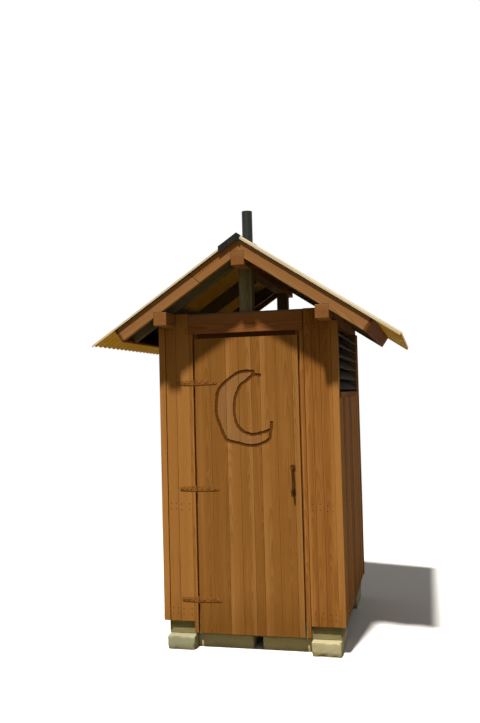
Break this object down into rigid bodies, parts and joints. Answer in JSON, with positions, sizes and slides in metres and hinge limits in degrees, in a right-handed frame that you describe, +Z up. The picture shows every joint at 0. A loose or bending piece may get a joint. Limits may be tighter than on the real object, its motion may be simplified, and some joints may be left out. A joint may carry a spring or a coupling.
{
  "type": "wooden outhouse",
  "caption": "Small gabled wooden outhouse with a plank door cut with a crescent outline, louvred side walls and a vent pipe through a corrugated roof.",
  "frame": {"origin": "on the ground, under the middle of the roof's outline", "axes": "+X to the right along the front, +Y from the front to the back, +Z up; the door faces -Y"},
  "size_m": [2.07, 1.9348, 3.262],
  "materials": {
    "stained_wood": "rough-sawn cedar, orange-brown stain",
    "door_wood": "brown-stained planks",
    "raw_wood": "unfinished framing timber, greyed",
    "treated_wood": "pressure-treated, greenish",
    "weathered_wood": "dark weathered slats",
    "dark_plywood": "dark roof boarding",
    "concrete": "rough cast concrete",
    "roof_sheet": "cream corrugated plastic sheet",
    "dark_flashing": "matt black",
    "black_pipe": "matt black plastic",
    "hinge_paint": "brown paint over steel",
    "black_iron": "dark painted iron"
  },
  "bodies": {
    "cabin": {"front_left_block": "concrete", "front_right_block": "concrete", "front_inner_blocks": "concrete", "rear_blocks": "concrete", "end_rims": "treated_wood", "floor_joists": "treated_wood", "floor_deck": "raw_wood", "front_left_post": "raw_wood", "front_right_post": "raw_wood", "rear_posts": "raw_wood", "door_studs": "raw_wood", "door_lintel": "raw_wood", "front_tie": "raw_wood", "rear_tie": "raw_wood", "right_plate": "stained_wood", "left_plate": "stained_wood", "ridge_beam": "stained_wood", "king_posts": "raw_wood", "wall_girts": "raw_wood", "front_right_wall": "stained_wood", "front_left_wall": "stained_wood", "back_wall": "stained_wood", "right_wall": "stained_wood", "left_wall": "stained_wood", "corner_boards": "stained_wood", "door_header": "stained_wood", "door_trims": "stained_wood", "louvre_jambs": "stained_wood", "louvre_sills": "stained_wood", "right_louvre": "weathered_wood", "left_louvre": "weathered_wood", "right_rafters": "raw_wood", "left_rafters": "raw_wood", "front_right_barge": "stained_wood", "front_left_barge": "stained_wood", "rear_right_barge": "stained_wood", "rear_left_barge": "stained_wood", "eave_boards": "stained_wood", "right_roof_boards": "dark_plywood", "left_roof_boards": "dark_plywood", "right_roof_sheet": "roof_sheet", "left_roof_sheet": "roof_sheet", "ridge_cap": "dark_flashing", "vent_pipe": "black_pipe", "pipe_flashing": "dark_flashing", "wall_hinge_leaves": "hinge_paint"},
    "door": {"door_panel": "door_wood", "door_ledges": "door_wood", "door_hinge_leaves": "hinge_paint", "door_handle": "black_iron"}
  },
  "joints": [
    {"name": "door_hinge", "type": "hinge", "parent": "cabin", "child": "door", "pos_m": [-0.3696, -0.769, 1.1], "axis": [0, 0, -1], "range_deg": [0, 110]}
  ]
}
